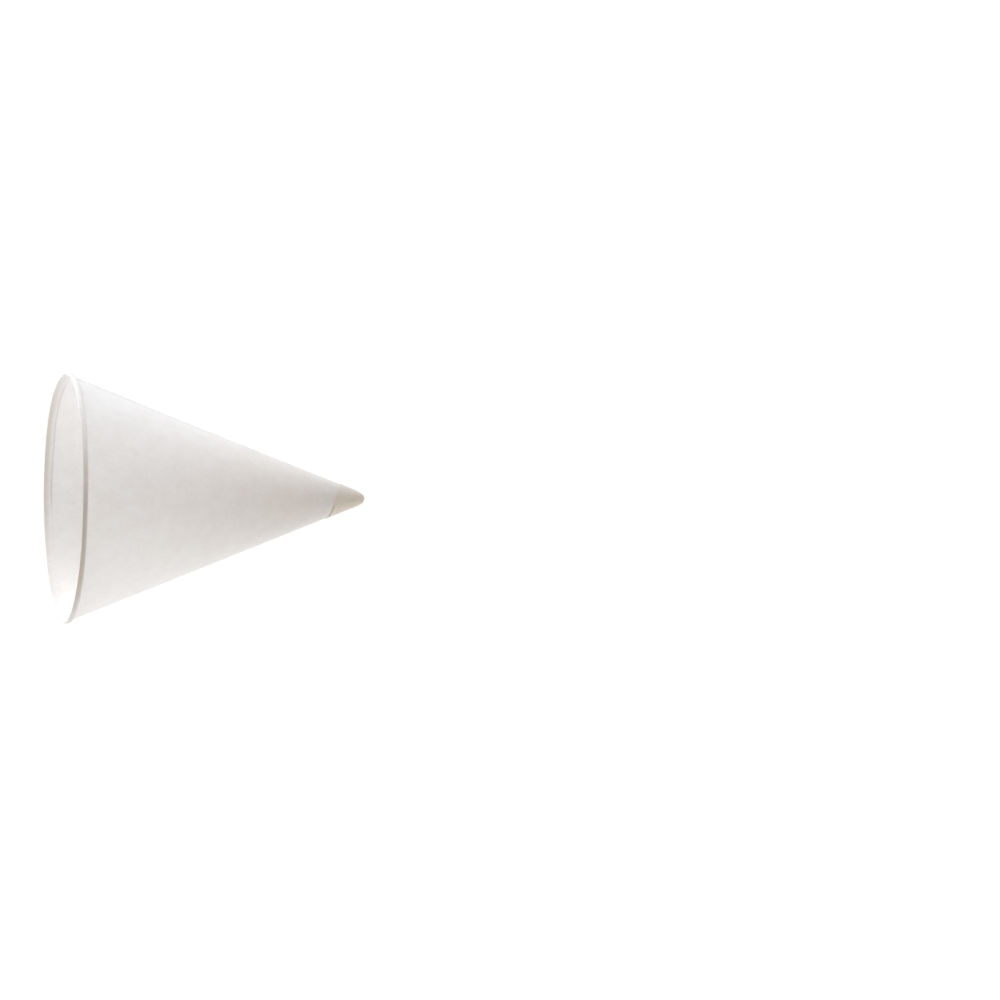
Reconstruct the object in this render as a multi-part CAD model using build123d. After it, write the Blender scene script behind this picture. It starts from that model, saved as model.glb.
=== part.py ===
from build123d import *
import os
from math import sin, cos, asin, atan, radians, degrees

# A cone paper cup standing mouth down on its rolled rim, with the point up.
# Millimetres. +Z is the cup's axis. The origin is the centre of the mouth, on the
# plane that the rolled rim stands on. Turns about the axis are counted from the -Y
# side, through -X (90 degrees), +Y (180) and +X (270).
# One sheet is wound once round and laps over its start, a little at the mouth and more
# and more towards the point, which its flap covers.

# ---- driving dimensions -------------------------------------------------------
paper = 0.15              # one ply of paper
rim_dia = 72.0            # across the rolled rim
cup_height = 89.5         # rim plane to the blunt tip
apex_height = 92.6        # where the outside of the single wall would come to a point
wall_radius = 35.82       # outside of the single wall, carried down to the rim plane

roll_height = 1.48        # rolled rim, along the axis
hook_radius = 0.12        # middle of the paper where the roll turns back in
roll_tuck = 0.20          # length of paper tucked back down inside the roll
rim_land = 0.02           # how far the lip is pressed flat where it stands

crease_z = 2.30           # pressed line round the inside, above the rim plane
crease_width = 0.50
crease_depth = 0.05

sheet_start = 75.0        # turn at which the sheet begins, inside
flap_end = 95.0           # turn at which the flap's edge meets the rim, outside
flap_foot = 15.3          # how near the point the line of the flap's long edge passes
flap_foot_turn = 319.9    # turn at which that line would be nearest
corner_turn = 272.0       # turn at which the long edge gives way to the short one
short_edge_drop = 12.6    # short edge, distance below the wall's point at turn 360
short_edge_slope = 0.0262 # what that distance loses for each degree of turn
short_edge_end = 450.0    # turn at which the short edge has come round

ply_foot = 1.14           # where the outer ply ends, inside the roll
ply_top = 83.3            # where the doubled wall passes under the closed tip
hollow_end_z = 87.1       # end of the hollow, under the closed tip
hollow_round_z = 85.4     # where the hollow stops following the wall
tip_round_z = 88.1        # where the outside starts to round over

ease = 0.02               # how far a ply stands proud where it lies flush in the paper

# ---- derived ------------------------------------------------------------------
slope = wall_radius / apex_height
alpha = atan(slope)
ca, sa = cos(alpha), sin(alpha)
step = paper / ca                         # one ply, measured level with the rim
half = paper / 2
# The doubled side of the wall is turned about an axis of its own. That carries its
# sheet outwards by one ply, from inside the sheet's start to outside its end.
half_lap = (flap_end - sheet_start) / 2
drift = step / 2 / sin(radians(half_lap))

# middle of the paper where the lip turns outwards, so that the rim comes out at its
# diameter, and the centres of the lip's turn and of the hook's
lip_radius = (rim_dia / 2 - wall_radius + step / 2 + slope * (half - rim_land) - half) / (
    1 + 1 / ca - slope
)
lip_x, lip_z = rim_dia / 2 - half - lip_radius, lip_radius + half - rim_land
hook_x, hook_z = rim_dia / 2 - half - hook_radius, roll_height - half - hook_radius


def wall_x(z, plies=0.0):
    """Radius of the wall's outside at a height, with more plies outside it."""
    return wall_radius - slope * z + plies * step


def arc(x, z, radius, a0, a1):
    """An arc about a point; angles from +X towards +Z."""
    return ThreePointArc(
        *[
            (x + radius * cos(radians(a)), 0, z + radius * sin(radians(a)))
            for a in (a0, (a0 + a1) / 2, a1)
        ]
    )


def lines(points):
    return [Line(a, b) for a, b in zip(points, points[1:])]


def dome(edge, top):
    """Arc of a sphere on the axis, from a point of its edge to its top."""
    rise = top - edge[2]
    ball = (edge[0] ** 2 + rise**2) / (2 * rise)
    turn = asin(edge[0] / ball) / 2
    return ThreePointArc(edge, (ball * sin(turn), 0, top - ball + ball * cos(turn)), (0, 0, top))


def inside(plies):
    """Inside of the wall with its pressed line, from the top down."""
    return [
        (wall_x(crease_z + crease_width / 2, plies), 0, crease_z + crease_width / 2),
        (wall_x(crease_z, plies) + crease_depth, 0, crease_z),
        (wall_x(crease_z - crease_width / 2, plies), 0, crease_z - crease_width / 2),
    ]


# ---- single wall with its rolled rim and closed end, turned all the way round --
wide, tight = lip_radius + half, lip_radius - half
wide_2, tight_2 = hook_radius + half, hook_radius - half
from_wall = degrees(alpha) - 180                          # where the wall runs into the lip's turn
hollow = (wall_x(hollow_round_z, -1), 0, hollow_round_z)
nose = (wall_x(tip_round_z - 0.5), 0, tip_round_z - 0.5)
tuck_z = hook_z - roll_tuck


def on(x, z, radius, a):
    return (x + radius * cos(radians(a)), 0, z + radius * sin(radians(a)))


edges = lines([hollow] + inside(-1) + [on(lip_x, lip_z, wide, from_wall)])
edges += [
    arc(lip_x, lip_z, wide, from_wall, 0),                # lip, turning outwards
    Line(on(lip_x, lip_z, wide, 0), on(hook_x, hook_z, wide_2, 0)),
    arc(hook_x, hook_z, wide_2, 0, 180),                  # and back under itself
    *lines([
        on(hook_x, hook_z, wide_2, 180),
        (hook_x - wide_2, 0, tuck_z),
        (hook_x - tight_2, 0, tuck_z),
        on(hook_x, hook_z, tight_2, 180),
    ]),
    arc(hook_x, hook_z, tight_2, 180, 0),
    Line(on(hook_x, hook_z, tight_2, 0), on(lip_x, lip_z, tight, 0)),
    arc(lip_x, lip_z, tight, 0, from_wall),
    *lines([on(lip_x, lip_z, tight, from_wall), nose, (0, 0, nose[2]), (0, 0, hollow_end_z)]),
    dome(hollow, hollow_end_z),
]
cup = revolve(make_face(edges), Axis.Z, 360)
cup -= Pos(0, 0, -5) * Box(200, 200, 10)                  # the lip is pressed flat where it stands
print("single wall", round(cup.volume, 1), cup.is_valid, "lip", round(lip_radius, 4), round(lip_x, 3))

# ---- doubled side of the wall -------------------------------------------------
out_ply = 0.5 + ease / step
in_ply = -1.5 - ease / step
doubled = revolve(
    make_face(
        lines(
            [(wall_x(ply_top, in_ply), 0, ply_top)]
            + inside(in_ply)
            + [
                (wall_x(0.50, in_ply), 0, 0.50),
                (wall_x(0.26, -0.6), 0, 0.26),
                (wall_x(ply_foot, -0.6), 0, ply_foot),
                (wall_x(ply_foot, out_ply), 0, ply_foot),
                (wall_x(ply_top, out_ply), 0, ply_top),
                (wall_x(ply_top, in_ply), 0, ply_top),
            ]
        )
    ),
    Axis.Z,
    flap_end - sheet_start,
)
# the section was drawn along +X, which is turn 270; turns run the other way round +Z
doubled = Rot(0, 0, 270 - flap_end) * doubled
towards = radians((sheet_start + flap_end) / 2 + 90)
doubled = Pos(-drift * sin(towards), -drift * cos(towards), 0) * doubled
print("doubled side", round(doubled.volume, 1), doubled.is_valid)


# ---- flap that covers the tip -------------------------------------------------
def turned(turn, radius, z):
    """A point at a turn about the axis."""
    return Vector(-radius * sin(radians(turn)), -radius * cos(radians(turn)), z)


def edge_drop(turn):
    """How far below the wall's point the flap's edge lies."""
    if turn <= corner_turn:
        return flap_foot / cos(radians((flap_foot_turn - turn) * sa)) * ca
    return short_edge_drop - short_edge_slope * (min(turn, short_edge_end) - 360)


def bare(turn, z):
    """Section, at a turn, of a cut that clears the wall below a height."""
    reach = 1.2
    return make_face(
        Polyline(
            turned(turn, wall_x(-12) - reach * 6, -12),
            turned(turn, wall_x(-12) + reach * 6, -12),
            turned(turn, wall_x(z) + reach * ca, z + reach * sa),
            turned(turn, wall_x(z) - reach * ca, z - reach * sa),
            close=True,
        )
    )


bite = 0.05                               # the flap is sunk into the wall, so that they join
out_flap = 1 + 1.5 * ease / step
tip_r = wall_x(tip_round_z, out_flap)
flap = revolve(
    make_face(
        lines(
            [
                (wall_x(ply_foot) - bite, 0, ply_foot),
                (wall_x(ply_foot, out_flap), 0, ply_foot),
                (tip_r, 0, tip_round_z),
            ]
        )
        + [dome((tip_r, 0, tip_round_z), cup_height)]
        + lines(
            [
                (0, 0, cup_height),
                (0, 0, hollow_end_z + 0.2),
                (wall_x(hollow_end_z + 0.2) - bite, 0, hollow_end_z + 0.2),
                (wall_x(ply_foot) - bite, 0, ply_foot),
            ]
        )
    ),
    Axis.Z,
    360,
)
long_edge = [flap_end - 3] + [flap_end + (corner_turn - flap_end) * k / 36 for k in range(37)]
short_edge = [corner_turn + (short_edge_end - corner_turn) * k / 18 for k in range(19)]
shut = [short_edge_end, (short_edge_end + flap_end + 358) / 2, flap_end + 358]
for row in (long_edge, short_edge, shut):
    cut = loft(
        [bare(t, -6 if t < flap_end else apex_height - edge_drop(t)) for t in row], ruled=True
    )
    flap -= cut
    print("cut", round(cut.volume, 1), cut.is_valid, "flap", round(flap.volume, 2), flap.is_valid)

cup = cup + doubled
print("with doubled side", round(cup.volume, 2), cup.is_valid, len(cup.solids()))
cup = cup + flap
print("cup", round(cup.volume, 2), cup.is_valid, len(cup.solids()))
cup = cup.solids()[0]

os.makedirs("parts", exist_ok=True)
export_step(cup, "parts/cone_cup.step")
box = cup.bounding_box()
print("size", [round(v, 3) for v in (box.size.X, box.size.Y, box.size.Z)], "lowest", round(box.min.Z, 4))
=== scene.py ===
import math

import bpy
import numpy as np
from mathutils import Matrix, Vector


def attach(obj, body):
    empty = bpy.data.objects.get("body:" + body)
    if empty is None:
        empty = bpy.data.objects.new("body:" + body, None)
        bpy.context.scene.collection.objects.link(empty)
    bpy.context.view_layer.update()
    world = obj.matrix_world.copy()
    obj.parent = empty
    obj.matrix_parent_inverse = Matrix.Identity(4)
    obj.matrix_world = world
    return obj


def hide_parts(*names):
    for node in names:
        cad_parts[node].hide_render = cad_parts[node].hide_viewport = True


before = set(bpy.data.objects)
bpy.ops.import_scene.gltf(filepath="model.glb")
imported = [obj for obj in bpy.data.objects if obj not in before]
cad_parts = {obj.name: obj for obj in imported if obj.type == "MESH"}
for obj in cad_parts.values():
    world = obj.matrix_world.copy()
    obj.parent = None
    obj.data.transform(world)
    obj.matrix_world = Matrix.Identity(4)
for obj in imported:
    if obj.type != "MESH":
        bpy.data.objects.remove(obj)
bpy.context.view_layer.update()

# The cup is built as the wound sheet it is. Lengths here are in millimetres until the
# mesh is made. Turns about the axis are counted from -Y, through -X (90), +Y (180) and
# +X (270). The sheet runs on past one turn, so its own turns go from 75 to 455 at the rim.

PAPER = 0.15
RIM_DIA = 72.0
APEX = 92.6
WALL = 35.82
ROLL_HEIGHT = 1.48
HOOK_RADIUS = 0.12
ROLL_TUCK = 0.20
RIM_LAND = 0.02
CREASE_Z = 2.30

PITCH = 0.158                 # from one ply to the next
MIDDLE = 265.0                # turn at which the sheet lies where the drawing has it
START = 75.0
END = 455.0
FOOT, FOOT_TURN = 15.3, 679.9
CORNER = 632.0
SHORT_DROP, SHORT_SLOPE = 12.6, 0.0262
LAST = 812.0

slope = WALL / APEX
alpha = math.atan(slope)
ca, sa = math.cos(alpha), math.sin(alpha)
step = PAPER / ca
mid = WALL - step / 2         # middle of the sheet, carried down to the rim plane
apex_mid = mid / slope

half = PAPER / 2
lip_radius = (RIM_DIA / 2 - WALL + step / 2 + slope * (half - RIM_LAND) - half) / (
    1 + 1 / ca - slope
)
lip_x, lip_z = RIM_DIA / 2 - half - lip_radius, lip_radius + half - RIM_LAND
hook_x, hook_z = RIM_DIA / 2 - half - HOOK_RADIUS, ROLL_HEIGHT - half - HOOK_RADIUS
wall_end = lip_z - lip_radius * sa        # where the wall runs into the lip's turn


# ---- the line that the sheet follows, from the tip to the end of the roll -----------
TIP_R, TIP_TOP = 2.35, 89.26  # radius at which the tip starts to close, and its end


def profile():
    """Points (radius, height), their normals, the distance along the sheet from the
    point of the cone, and how freely the plies lie apart there."""
    pts, nor, free = [], [], []

    def add(p, n, k=1.0):
        pts.append(p)
        nor.append(n)
        free.append(k)

    # the tip, drawn in and blunt at its end
    z_top = apex_mid - TIP_R / slope
    bend = np.array([[0.0, TIP_TOP - 0.08], [1.08, TIP_TOP + 0.06], [TIP_R, z_top]])
    for k in range(16):
        w = 0.012 + 0.988 * (k / 16) ** 0.95
        p = bend[0] * (1 - w) ** 2 + bend[1] * 2 * w * (1 - w) + bend[2] * w * w
        q = (bend[1] - bend[0]) * (1 - w) + (bend[2] - bend[1]) * w
        add(p, np.array([-q[1], q[0]]) / np.linalg.norm(q))
    wall_n = np.array([ca, sa])
    # the wall, with rows closer together near the tip and near the rim
    zs = []
    for a, b, n in (
        (z_top, 86.0, 8),
        (86.0, 74.0, 40),
        (74.0, 52.0, 12),
        (52.0, 8.0, 14),
        (8.0, 3.4, 4),
        (3.4, 1.1, 20),
        (1.1, wall_end, 6),
    ):
        zs += [a + (b - a) * i / n for i in range(n)]
    for z in zs:
        add(np.array([mid - slope * z, z]), wall_n, 0.35 + 0.65 * min(1, z / 1.6))
    # the rim, rolled outwards and tucked back
    def turn(x, z, radius, a0, a1, n, first=0):
        for k in range(first, n + 1):
            a = math.radians(a0 + (a1 - a0) * k / n)
            d = np.array([math.cos(a), math.sin(a)])
            add(np.array([x, z]) + radius * d, -d, 0.3)

    turn(lip_x, lip_z, lip_radius, math.degrees(alpha) - 180, 0, 14)
    for k in range(1, 7):
        w = k / 7
        z = lip_z + (hook_z - lip_z) * w
        add(np.array([RIM_DIA / 2 - half + 0.02 * math.sin(math.pi * w), z]), np.array([-1.0, 0.0]), 0.3)
    turn(hook_x, hook_z, HOOK_RADIUS, 0, 180, 10)
    for k in range(1, 3):
        add(np.array([hook_x - HOOK_RADIUS, hook_z - ROLL_TUCK * k / 2]), np.array([1.0, 0.0]), 0.3)
    pts, nor, free = np.array(pts), np.array(nor), np.array(free)
    # normals are the line's own where it bends
    run = np.concatenate([[0], np.cumsum(np.linalg.norm(np.diff(pts, axis=0), axis=1))])
    first = int(np.argmin(np.abs(pts[:, 1] - 60)))
    run += (apex_mid - pts[first, 1]) / ca - run[first]
    return pts, nor, free, run


pts, nor, free, run = profile()
rows = len(pts)


def smooth(x):
    x = np.clip(x, 0, 1)
    return x * x * (3 - 2 * x)


def sheet_start(r):
    """Turn at which the sheet begins, inside. Its corner is folded in near the tip."""
    return START + (LAST - 360 - START) * smooth((8.5 - r) / 4.0)


def sheet_end(r):
    """Turn at which the sheet ends, outside: its long edge, then its short one."""
    r = np.asarray(r, float)
    long_edge = FOOT_TURN - np.degrees(np.arccos(np.clip(FOOT / np.maximum(r, FOOT), 0, 1))) / sa
    short = 720 + (SHORT_DROP - r * ca) / SHORT_SLOPE
    r_c = (SHORT_DROP - SHORT_SLOPE * (CORNER - 720)) / ca
    # the two edges meet in a rounded corner
    w = smooth((r - (r_c - 0.9)) / 1.8)
    end = np.where(r > r_c + 0.9, long_edge, short * (1 - w) + long_edge * w)
    return np.minimum(end, LAST)


# columns of points stand at fixed turns, and the sheet's two edges cut them off
COLS = 432
column = START + (LAST - START) * np.arange(COLS + 1) / COLS
pace = (LAST - START) / COLS
begin = np.floor((sheet_start(run) - START) / pace + 0.4).astype(int)
finish = np.ceil((sheet_end(run) - START) / pace - 0.4).astype(int)
col = np.clip(np.arange(COLS + 1)[None, :], begin[:, None], finish[:, None])
theta = column[col]
theta = np.where(col == begin[:, None], sheet_start(run)[:, None], theta)
theta = np.where(col == finish[:, None], sheet_end(run)[:, None], theta)


# ---- small unevenness of the real thing ---------------------------------------------
def waves(az, height, count, fine, tall, seed):
    """A few slow waves over the wall, the same for plies that lie on each other."""
    g = np.random.default_rng(seed)
    out = np.zeros(np.broadcast(az, height).shape)
    for _ in range(count):
        k = g.integers(1, fine)
        out += g.normal() / k * np.sin(
            np.radians(az) * k + g.uniform(0, 6.28) + height * g.uniform(-tall, tall)
        )
    return out


def from_edge(r, turns):
    """Distance along the wall from the flap's short edge, positive outside the flap, and
    how far a turn lies on the stretch where that edge has come loose a little."""
    on = CORNER + np.mod(turns - CORNER, 360.0)
    edge = (SHORT_DROP - SHORT_SLOPE * (np.minimum(on, LAST) - 720)) / ca
    loose = smooth((on - 632.0) / 24.0) * smooth((712.0 - on) / 16.0)
    return r - edge, loose, on


def pressed(turns):
    """How deep the line round the inside is pressed, and how strong its painted shade: most on one
    stretch.
    """
    t = np.mod(turns, 360.0)
    return smooth((t - 98) / 12.0) * smooth((190 - t) / 14.0)


def lay(side):
    """The sheet's outer (+1) or inner (-1) face as (rows, columns, 3) in millimetres."""
    r = run[:, None]
    off = PITCH * (theta - MIDDLE) / 360.0
    # on the tip the plies close up, so that the last turn ends where it began
    shut = smooth((4.2 - r) / 2.6)
    off = off * (1 - shut) + 0.235 * shut
    off = off * free[:, None]
    d = off + side * PAPER / 2
    h = pts[:, 1][:, None]
    # the line pressed round the inside, which hardly shows outside
    press = 0.055 * np.exp(-(((h - CREASE_Z) / 0.20) ** 2)) - 0.026 * np.exp(
        -(((h - CREASE_Z + 0.52) / 0.22) ** 2)
    )
    d = d + press * (0.35 + 0.65 * pressed(theta)) * (1.0 if side < 0 else 0.25) * (r > 80)
    gap, loose, on = from_edge(r, theta)
    last_ply = (theta >= CORNER) & (gap < 0.05)
    d = d + np.where(last_ply, 0.11 * loose * smooth((gap + 1.5) / 1.5), 0.0)
    # slow waves in the wall, none at the rim
    calm = smooth((h - 2.6) / 12.0)
    d = d + calm * 0.045 * waves(theta, h / 10.0, 7, 6, 0.5, 3) * smooth((r - 3) / 8.0)
    # the crumpled tip: folds that run up it in a slight twist, and a pinch at its end
    near = smooth((6.5 - r) / 4.0)
    twist = np.radians(theta) + 0.35 * r
    folds = (
        np.abs(np.sin(1.5 * twist + 0.6)) * 0.55
        + np.abs(np.sin(2.5 * twist + 2.1 + 0.2 * np.sin(r * 2.0))) * 0.45
    )
    d = d - near * 0.20 * (0.75 - folds) * smooth((r - 1.2) / 1.6 + 0.25)
    rho = pts[:, 0][:, None] + d * nor[:, 0][:, None]
    z = pts[:, 1][:, None] + d * nor[:, 1][:, None]
    rho = np.maximum(rho, 0.004)
    # the lip stands flat
    z = np.where(z < 0.03, 0.03 * np.exp(np.minimum(z - 0.03, 0) / 0.05), z) + 0.0005
    a = np.radians(theta)
    # and is not quite level all round: it stands on its low stretches
    rise = 0.21 + 0.06 * np.cos(a) + 0.20 * np.sin(a) - 0.22 * np.cos(2 * a) + 0.29 * np.sin(2 * a)
    rise = (rise + np.sqrt(rise * rise + 0.0036)) / 2
    z = z + rise * smooth(1 - h / 34.0)
    # a paper rim is never quite round
    low = smooth(1 - h / 60.0)
    oval = 1 + low * (0.0022 * np.cos(2 * (a - 0.5)) + 0.0012 * np.cos(3 * a + 1.0))
    x, y = -rho * np.sin(a) * oval, -rho * np.cos(a) * oval
    # the end of the tip leans a little and is dented
    lean = smooth((7.0 - r) / 6.0)
    x = x + lean * 0.10
    y = y + lean * 0.05
    dent = 0.34 * np.exp(-(((x - 0.25) ** 2 + (y + 0.30) ** 2) / 0.16)) + 0.16 * np.exp(
        -(((x + 0.55) ** 2 + (y + 0.55) ** 2) / 0.10)
    )
    z = z - np.where(h > 86, dent, 0)
    return np.stack([x, y, z], -1)


outer, inner = lay(1.0), lay(-1.0)
kept = np.zeros((rows, COLS + 1), dtype=bool)
kept[np.arange(rows)[:, None], col] = True
number = np.cumsum(kept.ravel()).reshape(kept.shape) - 1
idx = np.take_along_axis(number, col, axis=1)
n_per = int(kept.sum())
verts = np.concatenate([outer[kept], inner[kept]]) * 0.001

# quads, or triangles where an edge cuts a column off
ring = np.stack([idx[:-1, :-1], idx[:-1, 1:], idx[1:, 1:], idx[1:, :-1]], -1).reshape(-1, 4)
top_shut, low_shut = ring[:, 0] == ring[:, 1], ring[:, 2] == ring[:, 3]
quads = ring[~top_shut & ~low_shut]
tris = np.concatenate([ring[top_shut & ~low_shut][:, 1:], ring[~top_shut & low_shut][:, :3]])
first, last = idx[:, 0], idx[:, -1]
edge_a = np.stack([first[1:], first[:-1], first[:-1] + n_per, first[1:] + n_per], -1)
edge_b = np.stack([last[:-1], last[1:], last[1:] + n_per, last[:-1] + n_per], -1)


def border(line, flip):
    line = line[np.concatenate([[True], np.diff(line) > 0])]
    one, two = (line[1:], line[:-1]) if flip else (line[:-1], line[1:])
    return np.stack([one, two, two + n_per, one + n_per], -1)


edge_c, edge_d = border(idx[-1], True), border(idx[0], False)
edges = np.concatenate([edge_a, edge_b, edge_c, edge_d])
faces = [quads, quads[:, ::-1] + n_per, edges, tris, tris[:, ::-1] + n_per]
n_quads = 2 * len(quads) + len(edges)
loop_vert = np.concatenate([f.ravel() for f in faces]).astype(np.int32)
sides = np.concatenate([np.full(n_quads, 4), np.full(2 * len(tris), 3)]).astype(np.int32)

mesh = bpy.data.meshes.new("wound_sheet")
mesh.vertices.add(len(verts))
mesh.vertices.foreach_set("co", verts.ravel())
mesh.loops.add(len(loop_vert))
mesh.loops.foreach_set("vertex_index", loop_vert)
mesh.polygons.add(len(sides))
mesh.polygons.foreach_set("loop_start", np.concatenate([[0], np.cumsum(sides)[:-1]]).astype(np.int32))
mesh.polygons.foreach_set("loop_total", sides)
mesh.update(calc_edges=True)
smooth_flags = np.ones(len(sides), dtype=bool)
smooth_flags[2 * len(quads) : n_quads] = False
mesh.polygons.foreach_set("use_smooth", smooth_flags)

# the flat blank as the sheet's own map, one face of the paper above the other, and the
# cut edges as thin borders of the outer face
phi = np.radians(theta) * sa - math.radians((START + END) / 2) * sa
away = np.stack([np.cos(phi), np.sin(phi)], -1)
flat = run[:, None, None] * away
WIDE = 245.0
map_outer = np.stack([0.5 + flat[..., 1] / WIDE, 0.008 + (flat[..., 0] + 16) / WIDE], -1)
map_inner = np.stack([0.5 + flat[..., 1] / WIDE, 0.992 - (flat[..., 0] + 16) / WIDE], -1)
map_outer, map_inner, away = map_outer[kept], map_inner[kept], away[kept]
corner = np.concatenate([map_outer, map_inner])[loop_vert]
along = np.stack([away[:, 1], away[:, 0]], -1)
across = np.stack([away[:, 0], -away[:, 1]], -1)
outward = np.concatenate(
    [
        -across[edge_a % n_per],
        across[edge_b % n_per],
        along[edge_c % n_per],
        -along[edge_d % n_per],
    ]
)
strip = map_outer[edges % n_per] + outward * np.where(edges >= n_per, PAPER / WIDE, 0.0)[..., None]
corner[8 * len(quads) : 4 * n_quads] = strip.reshape(-1, 2)
uv = mesh.uv_layers.new(name="OFBake")
uv.data.foreach_set("uv", corner.astype(np.float32).ravel())
mesh.validate()

# where the paper lies thick and pressed together, in the rolled rim and in the flap over the tip, it lets
# little light through: there the subsurface scattering is turned down, and the base colour carries painted
# shade, darker and warmer, for the light that does not come through, and on the roll for the shade under
# it
r_all, z_all = run[:, None] + 0 * theta, pts[:, 1][:, None] + 0 * theta
gap, loose, on = from_edge(r_all, theta)
# painted shade over the flap and the tip, where the wound paper lets little light through
soft = 0.40 + 1.7 * smooth((on - 690.0) / 26.0)
flap_shade_part = smooth((soft - gap) / (soft + 1.1)) * (on <= LAST - 20)
tip_shade_part = np.maximum(flap_shade_part, smooth((13.5 - r_all) / 5.5))
tip_shade_part = np.maximum(tip_shade_part, smooth((theta - 556) / 76.0) * smooth((19.5 - r_all) / 3.5))
# the tip's painted shade is weaker on the side that faces the strongest light, towards -X
tip_shade_part = tip_shade_part * (1 - 0.42 * smooth((on - 716) / 34.0) * smooth((812 - on) / 24.0))
roll_shade_part = smooth((ROLL_HEIGHT + 0.12 - z_all) / 0.16)
turn_all = np.mod(theta, 360.0)
# the roll's painted shade varies round the cup with the light: weakest where most light falls on it (about
# turns 30 to 100 and 200 to 270), strongest on the near side towards +X; it is also weaker towards the
# roll's top
roll_shade_round = np.interp(
    turn_all,
    [0, 8, 15, 24, 38, 100, 125, 140, 172, 184, 196, 212, 262, 284, 301, 318, 332, 345, 353, 360],
    [0.60, 0.46, 0.40, 0.22, 0.06, 0.06, 0.44, 0.54, 0.54, 0.48, 0.27, 0.04, 0.04, 0.28, 0.52, 0.88, 0.80, 0.60, 0.66, 0.60],
)
roll_shade_part = roll_shade_part * roll_shade_round * (1 - 0.70 * smooth((z_all - 0.55) / 1.0))
crease_shade_part = 0.10 + 0.90 * pressed(theta)
one, none = 0 * tip_shade_part + 1, 0 * tip_shade_part
# outside, the roll's painted shade is weaker along its lip: a painted highlight where the lip turns
# towards the light
lip_less_shade = 1 - 0.45 * smooth((0.42 - z_all) / 0.40)
# per point: roll (red), flap and tip (green), pressed line inside (blue); red and green set painted shade
# and cut the subsurface scattering, blue sets painted shade in the line
thick_shade = [
    np.stack([roll_shade_part * lip_less_shade, tip_shade_part, none, one], -1)[kept],
    np.stack([roll_shade_part, tip_shade_part, crease_shade_part, one], -1)[kept],
]
layer = mesh.attributes.new("thick_shade", "FLOAT_COLOR", "POINT")
layer.data.foreach_set("color", np.concatenate(thick_shade).astype(np.float32).ravel())
# height above the rim's own edge, in millimetres
layer = mesh.attributes.new("height", "FLOAT", "POINT")
layer.data.foreach_set("value", np.concatenate([z_all[kept], z_all[kept]]).astype(np.float32))
# distance from the flap's edge, in millimetres, on the stretch where that edge has lifted; a painted
# shadow line runs along it there
flap_shadow_line = (np.clip(gap, -4, 4) + 6 * (1 - loose))[kept]
layer = mesh.attributes.new("flap_shadow_line", "FLOAT", "POINT")
layer.data.foreach_set("value", np.concatenate([flap_shadow_line, flap_shadow_line]).astype(np.float32))

cup = bpy.data.objects.new("cup_sheet", mesh)
bpy.context.scene.collection.objects.link(cup)


# ---- paper ---------------------------------------------------------------------------
def node(tree, kind, **values):
    n = tree.nodes.new(kind)
    for k, v in values.items():
        setattr(n, k, v)
    return n


# painted shade on the roll and on the flap over the tip, a warm tint towards the tip, painted shade in the
# pressed line and a painted shadow along the flap's lifted edge
ROLL_PAINTED_SHADE = (0.780, 0.720, 0.620, 1)
TIP_PAINTED_SHADE = (0.975, 0.925, 0.845, 1)
WARM_SHADE = (1.02, 0.985, 0.935, 1)
CREASE_PAINTED_SHADE = (0.80, 0.785, 0.765, 1)
FLAP_EDGE_PAINTED_SHADOW = (0.80, 0.765, 0.715, 1)


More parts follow.
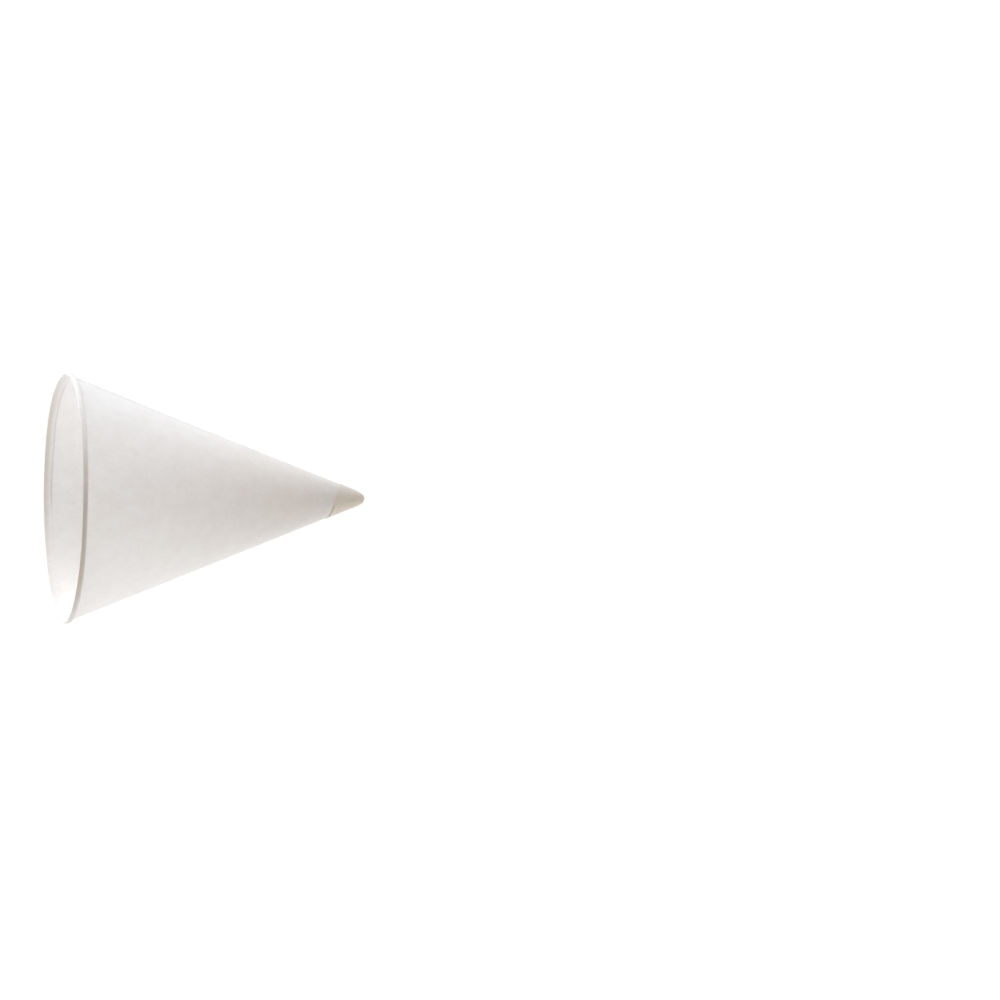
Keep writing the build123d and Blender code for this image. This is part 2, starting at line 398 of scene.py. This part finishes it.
def paper():
    mat = bpy.data.materials.new("cup_paper")
    mat.use_nodes = True
    t = mat.node_tree
    t.nodes.clear()
    out = node(t, "ShaderNodeOutputMaterial")
    bsdf = node(t, "ShaderNodeBsdfPrincipled")
    t.links.new(bsdf.outputs["BSDF"], out.inputs["Surface"])
    bsdf.inputs["Specular IOR Level"].default_value = 0.30
    bsdf.inputs["Subsurface Radius"].default_value = (0.96, 0.95, 0.93)
    bsdf.inputs["Subsurface Scale"].default_value = 0.00040
    place = node(t, "ShaderNodeTexCoord")

    def noise(scale, detail, rough, stretch=None, distortion=0.0):
        source = place.outputs["Object"]
        if stretch is not None:
            m = node(t, "ShaderNodeMapping")
            m.inputs["Scale"].default_value = stretch
            t.links.new(source, m.inputs["Vector"])
            source = m.outputs["Vector"]
        n = node(t, "ShaderNodeTexNoise")
        n.inputs["Scale"].default_value = scale
        n.inputs["Detail"].default_value = detail
        n.inputs["Roughness"].default_value = rough
        n.inputs["Distortion"].default_value = distortion
        t.links.new(source, n.inputs["Vector"])
        return n.outputs["Fac"]

    def ramp(fac, stops):
        n = node(t, "ShaderNodeValToRGB")
        while len(n.color_ramp.elements) < len(stops):
            n.color_ramp.elements.new(0.5)
        for e, (pos, col) in zip(n.color_ramp.elements, stops):
            e.position = pos
            e.color = col if hasattr(col, "__len__") else (col, col, col, 1)
        t.links.new(fac, n.inputs["Fac"])
        return n.outputs["Color"]

    def mul(a, b, fac=1.0):
        n = node(t, "ShaderNodeMix", data_type="RGBA", blend_type="MULTIPLY")
        n.inputs[0].default_value = fac
        t.links.new(a, n.inputs[6])
        t.links.new(b, n.inputs[7])
        return n.outputs[2]

    # cloudy formation of the pulp, finer mottle and single fibres
    cloud = ramp(noise(260, 3, 0.55), [(0.30, (0.880, 0.860, 0.826, 1)), (0.72, (0.918, 0.905, 0.876, 1))])
    mottle = ramp(noise(1500, 4, 0.62), [(0.25, 0.956), (0.70, 1.0)])
    fibre = ramp(noise(2600, 2, 0.5, (1.0, 1.0, 0.16), 1.2), [(0.28, 0.940), (0.46, 1.0)])
    colour = mul(mul(cloud, mottle), fibre)

    def band(value, centre, half):
        """1 on a value, 0 away from it."""
        a = node(t, "ShaderNodeMath", operation="SUBTRACT")
        t.links.new(value, a.inputs[0])
        a.inputs[1].default_value = centre
        b = node(t, "ShaderNodeMath", operation="ABSOLUTE")
        t.links.new(a.outputs[0], b.inputs[0])
        c = node(t, "ShaderNodeMapRange", interpolation_type="SMOOTHSTEP")
        t.links.new(b.outputs[0], c.inputs["Value"])
        c.inputs["From Min"].default_value = 0.0
        c.inputs["From Max"].default_value = half
        c.inputs["To Min"].default_value = 1.0
        c.inputs["To Max"].default_value = 0.0
        return c.outputs[0]

    def tint(base, fac, shade):
        n = node(t, "ShaderNodeMix", data_type="RGBA", blend_type="MULTIPLY")
        t.links.new(fac, n.inputs[0])
        t.links.new(base, n.inputs[6])
        n.inputs[7].default_value = shade
        return n.outputs[2]

    layer = node(t, "ShaderNodeVertexColor", layer_name="thick_shade")
    parts = node(t, "ShaderNodeSeparateColor")
    t.links.new(layer.outputs["Color"], parts.inputs["Color"])
    # painted shade in the pressed line, inside, and a painted shadow along the flap's lifted edge
    height = node(t, "ShaderNodeAttribute", attribute_name="height")
    line = node(t, "ShaderNodeMath", operation="MULTIPLY")
    t.links.new(parts.outputs["Blue"], line.inputs[0])
    t.links.new(band(height.outputs["Fac"], CREASE_Z, 0.46), line.inputs[1])
    colour = tint(colour, line.outputs[0], CREASE_PAINTED_SHADE)
    # a painted shadow line along the flap's lifted edge
    edge = node(t, "ShaderNodeAttribute", attribute_name="flap_shadow_line")
    colour = tint(colour, band(edge.outputs["Fac"], 0.12, 0.26), FLAP_EDGE_PAINTED_SHADOW)
    # painted shade on the thick roll and on the flap over the tip
    colour = tint(colour, parts.outputs["Red"], ROLL_PAINTED_SHADE)
    colour = tint(colour, parts.outputs["Green"], TIP_PAINTED_SHADE)
    # the colour is tinted a little warmer towards the tip
    warm = node(t, "ShaderNodeMapRange", interpolation_type="SMOOTHSTEP")
    t.links.new(height.outputs["Fac"], warm.inputs["Value"])
    warm.inputs["From Min"].default_value = 15.0
    warm.inputs["From Max"].default_value = 78.0
    warm.inputs["To Max"].default_value = 0.60
    colour = tint(colour, warm.outputs[0], WARM_SHADE)
    t.links.new(colour, bsdf.inputs["Base Color"])
    fast = node(t, "ShaderNodeMath", operation="MULTIPLY", use_clamp=True)
    t.links.new(parts.outputs["Red"], fast.inputs[0])
    fast.inputs[1].default_value = 12.0
    both = node(t, "ShaderNodeMath", operation="MAXIMUM")
    t.links.new(fast.outputs[0], both.inputs[0])
    t.links.new(parts.outputs["Green"], both.inputs[1])
    glow = node(t, "ShaderNodeMapRange")
    t.links.new(both.outputs[0], glow.inputs["Value"])
    glow.inputs["To Min"].default_value = 0.90
    glow.inputs["To Max"].default_value = 0.10
    t.links.new(glow.outputs[0], bsdf.inputs["Subsurface Weight"])
    rough = ramp(noise(900, 3, 0.6), [(0.2, 0.66), (0.8, 0.86)])
    t.links.new(rough, bsdf.inputs["Roughness"])
    # the surface: felt marks, grain and fibres
    h1, h2, h3 = noise(520, 3, 0.5), noise(2400, 4, 0.65), noise(3400, 2, 0.5, (1.0, 1.0, 0.18), 1.5)
    s = node(t, "ShaderNodeMath", operation="MULTIPLY_ADD")
    t.links.new(h1, s.inputs[0])
    s.inputs[1].default_value = 1.6
    t.links.new(h2, s.inputs[2])
    s2 = node(t, "ShaderNodeMath", operation="MULTIPLY_ADD")
    t.links.new(h3, s2.inputs[0])
    s2.inputs[1].default_value = 0.7
    t.links.new(s.outputs[0], s2.inputs[2])
    bump = node(t, "ShaderNodeBump")
    bump.inputs["Strength"].default_value = 0.35
    bump.inputs["Distance"].default_value = 0.00006
    t.links.new(s2.outputs[0], bump.inputs["Height"])
    t.links.new(bump.outputs["Normal"], bsdf.inputs["Normal"])
    return mat


mesh.materials.append(paper())
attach(cup, "root")
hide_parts("cone_cup")


# ---- floor, seen from above only ------------------------------------------------------
def floor_material():
    mat = bpy.data.materials.new("pale_floor")
    mat.use_nodes = True
    t = mat.node_tree
    t.nodes.clear()
    out = node(t, "ShaderNodeOutputMaterial")
    # the floor glows evenly and takes no light from the lamps; the shade round the cup is a painted
    # contact shadow, from ambient occlusion
    solid = node(t, "ShaderNodeEmission")
    ao_contact_shade = node(t, "ShaderNodeAmbientOcclusion", samples=8)
    ao_contact_shade.inputs["Distance"].default_value = 0.09
    tone = node(t, "ShaderNodeMapRange")
    t.links.new(ao_contact_shade.outputs["AO"], tone.inputs["Value"])
    tone.inputs["From Min"].default_value = 0.35
    tone.inputs["From Max"].default_value = 1.0
    tone.inputs["To Min"].default_value = 0.30
    tone.inputs["To Max"].default_value = 0.74
    solid.inputs["Color"].default_value = (1.0, 0.995, 0.985, 1)
    t.links.new(tone.outputs[0], solid.inputs["Strength"])
    clear = node(t, "ShaderNodeBsdfTransparent")
    geo = node(t, "ShaderNodeNewGeometry")
    path = node(t, "ShaderNodeLightPath")
    seen = node(t, "ShaderNodeMath", operation="SUBTRACT")
    t.links.new(path.outputs["Is Camera Ray"], seen.inputs[0])
    t.links.new(geo.outputs["Backfacing"], seen.inputs[1])
    far = node(t, "ShaderNodeVectorMath", operation="LENGTH")
    t.links.new(geo.outputs["Position"], far.inputs[0])
    fade = node(t, "ShaderNodeMapRange", interpolation_type="SMOOTHSTEP")
    t.links.new(far.outputs["Value"], fade.inputs["Value"])
    fade.inputs["From Min"].default_value = 0.25
    fade.inputs["From Max"].default_value = 1.1
    fade.inputs["To Min"].default_value = 1.0
    fade.inputs["To Max"].default_value = 0.0
    m = node(t, "ShaderNodeMath", operation="MULTIPLY", use_clamp=True)
    t.links.new(seen.outputs[0], m.inputs[0])
    t.links.new(fade.outputs[0], m.inputs[1])
    mix = node(t, "ShaderNodeMixShader")
    t.links.new(m.outputs[0], mix.inputs[0])
    t.links.new(clear.outputs[0], mix.inputs[1])
    t.links.new(solid.outputs[0], mix.inputs[2])
    t.links.new(mix.outputs[0], out.inputs["Surface"])
    return mat


fm = bpy.data.meshes.new("floor")
ring = [(1.4 * math.cos(a), 1.4 * math.sin(a), 0.0) for a in np.linspace(0, 2 * math.pi, 97)[:-1]]
fm.from_pydata(ring, [], [list(range(96))])
fm.update()
floor = bpy.data.objects.new("floor", fm)
bpy.context.scene.collection.objects.link(floor)
fm.materials.append(floor_material())


# ---- light ----------------------------------------------------------------------------
def area(name, where, look, size, watts, colour=(1, 1, 1)):
    lamp = bpy.data.lights.new(name, "AREA")
    lamp.shape = "RECTANGLE"
    lamp.size, lamp.size_y = size
    lamp.energy = watts
    lamp.color = colour
    o = bpy.data.objects.new(name, lamp)
    o.location = where
    o.rotation_mode = "QUATERNION"
    o.rotation_quaternion = (Vector(look) - Vector(where)).to_track_quat("-Z", "Y")
    o.visible_camera = False
    bpy.context.scene.collection.objects.link(o)
    return o


# soft white panels all round the cup: the strongest above it (-X in the picture) and
# behind the mouth's side, from where light gets into the cup and through the paper
centre = Vector((0.0, 0.0, 0.04))
PANELS = (
    ("above", (-0.6, 0.0, 0.0), 0.45, (1.89, 1.99, 2.12)),
    ("front", (0.0, -0.6, 0.0), 0.45, (1.18, 1.14, 1.13)),
    ("below_front", (0.42, -0.42, 0.0), 0.45, (0.31, 0.29, 0.28)),
    ("below_back", (0.42, 0.42, 0.0), 0.45, (0.88, 0.88, 0.87)),
    ("mouth", (0.0, 0.0, -0.6), 0.45, (0.47, 0.40, 0.40)),
    ("mouth_above", (-0.42, 0.0, -0.42), 0.45, (1.80, 1.77, 1.82)),
    ("mouth_below", (0.42, 0.0, -0.42), 0.45, (1.61, 1.64, 1.72)),
    ("mouth_back", (-0.35, 0.35, -0.35), 0.45, (2.26, 2.30, 2.37)),
    ("mouth_low_back", (0.18, 0.18, -0.545), 0.30, (0.60, 0.56, 0.59)),
    ("tip_below", (0.42, 0.0, 0.42), 0.45, (1.47, 1.47, 1.47)),
    ("tip_front", (-0.35, -0.35, 0.35), 0.45, (0.82, 0.76, 0.75)),
    ("tip_back", (0.35, 0.35, 0.35), 0.45, (0.83, 0.77, 0.77)),
    ("tip_above_back", (-0.35, 0.35, 0.35), 0.45, (0.44, 0.46, 0.43)),
)
for name, out, side, strength in PANELS:
    watts = max(strength)
    area(name, centre + Vector(out), centre, (side, side), watts, [c / watts for c in strength])

world = bpy.data.worlds.new("white")
bpy.context.scene.world = world
world.use_nodes = True
wt = world.node_tree
wt.nodes.clear()
wo = wt.nodes.new("ShaderNodeOutputWorld")
bg = wt.nodes.new("ShaderNodeBackground")
bg.inputs["Color"].default_value = (1, 1, 1, 1)
lp = wt.nodes.new("ShaderNodeLightPath")
mr = wt.nodes.new("ShaderNodeMapRange")
wt.links.new(lp.outputs["Is Camera Ray"], mr.inputs["Value"])
mr.inputs["To Min"].default_value = 0.0
mr.inputs["To Max"].default_value = 1.02
wt.links.new(mr.outputs[0], bg.inputs["Strength"])
wt.links.new(bg.outputs[0], wo.inputs["Surface"])

view = bpy.context.scene.view_settings
view.view_transform = "Standard"
view.look = "None"

# ---- camera, at the photograph's angle ------------------------------------------------
# The cup lies on its side in the photograph, so the camera is turned with it: the tip
# points right in the picture, and -X is up.
LENS = 135.0
TILT, ROLL = math.radians(15.63), math.radians(0.0)
CX, CY, DIST = 62.43, 498.6, 1.0803


def camera():
    f = LENS / 36 * 1000.0
    a = np.array([math.cos(TILT) * math.cos(ROLL), math.cos(TILT) * math.sin(ROLL), math.sin(TILT)])
    u = np.array([-math.sin(ROLL), math.cos(ROLL), 0.0])
    v = np.cross(a, u)
    c = np.array([(CX - 500) / f * DIST, (CY - 500) / f * DIST, DIST])
    turn = np.stack([u, v, a])            # rows: world axes in the camera's right, down, forward
    eye = -turn @ c
    right, down, ahead = turn[:, 0], turn[:, 1], turn[:, 2]
    m = Matrix.Identity(4)
    for i in range(3):
        m[i][0], m[i][1], m[i][2], m[i][3] = right[i], -down[i], -ahead[i], eye[i]
    data = bpy.data.cameras.new("camera")
    data.lens = LENS
    data.sensor_width = 36.0
    data.clip_start, data.clip_end = 0.05, 20
    data.dof.use_dof = False
    o = bpy.data.objects.new("camera", data)
    bpy.context.scene.collection.objects.link(o)
    o.matrix_world = m
    bpy.context.scene.camera = o


camera()
